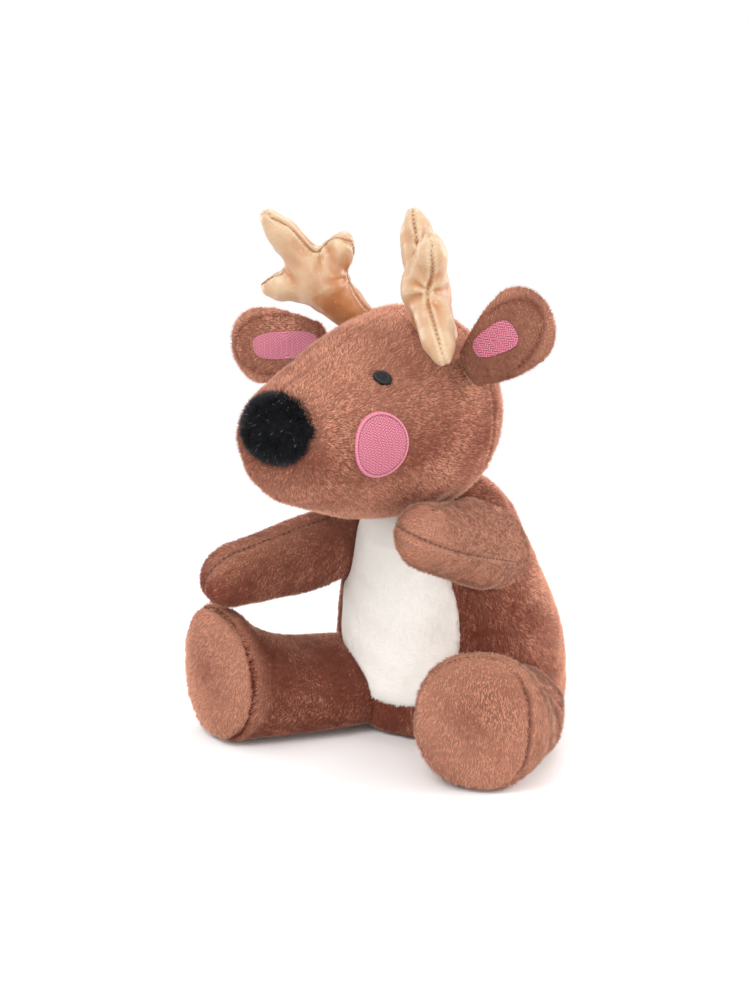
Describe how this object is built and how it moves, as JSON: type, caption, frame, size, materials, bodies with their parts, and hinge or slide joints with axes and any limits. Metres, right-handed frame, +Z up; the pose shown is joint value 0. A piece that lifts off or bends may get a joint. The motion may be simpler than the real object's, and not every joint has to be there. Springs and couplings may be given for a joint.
{
  "type": "plush deer toy",
  "caption": "Seated plush deer with a long muzzle, fluffy nose, branching stuffed antlers, cream tummy panel and arms and legs that flex at sewn joints.",
  "frame": {"origin": "on the floor, below the middle of the seated toy's bounding box", "axes": "+Z up, -Y the way the body faces, +X towards the deer's own left"},
  "size_m": [0.189, 0.1823, 0.2417],
  "materials": {
    "brown_plush": "short-pile velvety plush",
    "cream_plush": "smooth short-pile plush",
    "black_plush": "longer fluffy plush",
    "pink_thread": "filled embroidery with a satin edge",
    "black_thread": "satin-stitch embroidery",
    "tan_leatherette": "satin, puckered at the seams",
    "fibre_filling": "loose polyester fibre, out of sight"
  },
  "bodies": {
    "torso": {"torso_filling": "fibre_filling", "torso_panel_left": "brown_plush", "torso_panel_right": "brown_plush", "tummy_panel": "cream_plush"},
    "head": {"head_filling": "fibre_filling", "head_panel_left": "brown_plush", "head_panel_right": "brown_plush", "head_back_panel": "brown_plush", "nose_panel": "black_plush", "eye_left": "black_thread", "eye_right": "black_thread", "cheek_left": "pink_thread", "cheek_right": "pink_thread"},
    "arm_left": {"arm_left_outer": "brown_plush", "arm_left_inner": "brown_plush", "arm_left_filling": "fibre_filling"},
    "leg_left": {"leg_left_cover": "brown_plush", "leg_left_sole": "brown_plush", "leg_left_filling": "fibre_filling"},
    "ear_left": {"ear_left_front": "brown_plush", "ear_left_back": "brown_plush", "ear_left_filling": "fibre_filling", "ear_left_lining": "pink_thread"},
    "antler_left": {"antler_left_front": "tan_leatherette", "antler_left_back": "tan_leatherette", "antler_left_filling": "fibre_filling"},
    "arm_right": {"arm_right_outer": "brown_plush", "arm_right_inner": "brown_plush", "arm_right_filling": "fibre_filling"},
    "leg_right": {"leg_right_cover": "brown_plush", "leg_right_sole": "brown_plush", "leg_right_filling": "fibre_filling"},
    "ear_right": {"ear_right_front": "brown_plush", "ear_right_back": "brown_plush", "ear_right_filling": "fibre_filling", "ear_right_lining": "pink_thread"},
    "antler_right": {"antler_right_front": "tan_leatherette", "antler_right_back": "tan_leatherette", "antler_right_filling": "fibre_filling"}
  },
  "joints": [
    {"name": "neck_turn", "type": "hinge", "parent": "torso", "child": "head", "pos_m": [0.00466, 0.02704, 0.09], "axis": [0, 0, 1], "range_deg": [-12, 10], "stiffness_Nm_per_rad": 0.4},
    {"name": "shoulder_left_lift", "type": "hinge", "parent": "torso", "child": "arm_left", "pos_m": [0.04216, 0.01104, 0.0838], "axis": [-0.9994, 0.0349, 0], "range_deg": [-15, 0], "stiffness_Nm_per_rad": 0.12},
    {"name": "shoulder_right_lift", "type": "hinge", "parent": "torso", "child": "arm_right", "pos_m": [-0.03284, 0.01104, 0.0838], "axis": [-0.8988, 0.4384, 0], "range_deg": [0, 20], "stiffness_Nm_per_rad": 0.12},
    {"name": "hip_left_turn", "type": "hinge", "parent": "torso", "child": "leg_left", "pos_m": [0.04666, 0.00504, 0.0195], "axis": [0, 0, 1], "range_deg": [-12, 12], "stiffness_Nm_per_rad": 0.25},
    {"name": "hip_right_turn", "type": "hinge", "parent": "torso", "child": "leg_right", "pos_m": [-0.03734, 0.00504, 0.0195], "axis": [0, 0, 1], "range_deg": [-12, 12], "stiffness_Nm_per_rad": 0.25},
    {"name": "ear_left_fold", "type": "hinge", "parent": "head", "child": "ear_left", "pos_m": [0.04212, -0.01104, 0.1755], "axis": [-0.6198, 0.1093, 0.7771], "range_deg": [-25, 25], "stiffness_Nm_per_rad": 0.03},
    {"name": "ear_right_fold", "type": "hinge", "parent": "head", "child": "ear_right", "pos_m": [-0.04356, 0.00406, 0.1755], "axis": [-0.171, 0.0302, 0.9848], "range_deg": [-25, 25], "stiffness_Nm_per_rad": 0.03},
    {"name": "antler_left_tilt", "type": "hinge", "parent": "head", "child": "antler_left", "pos_m": [0.02465, -0.00644, 0.1915], "axis": [0.5299, -0.848, 0], "range_deg": [-12, 12], "stiffness_Nm_per_rad": 0.04},
    {"name": "antler_right_tilt", "type": "hinge", "parent": "head", "child": "antler_right", "pos_m": [-0.02557, 0.00241, 0.1915], "axis": [-0.866, -0.5, 0], "range_deg": [-12, 12], "stiffness_Nm_per_rad": 0.04}
  ]
}
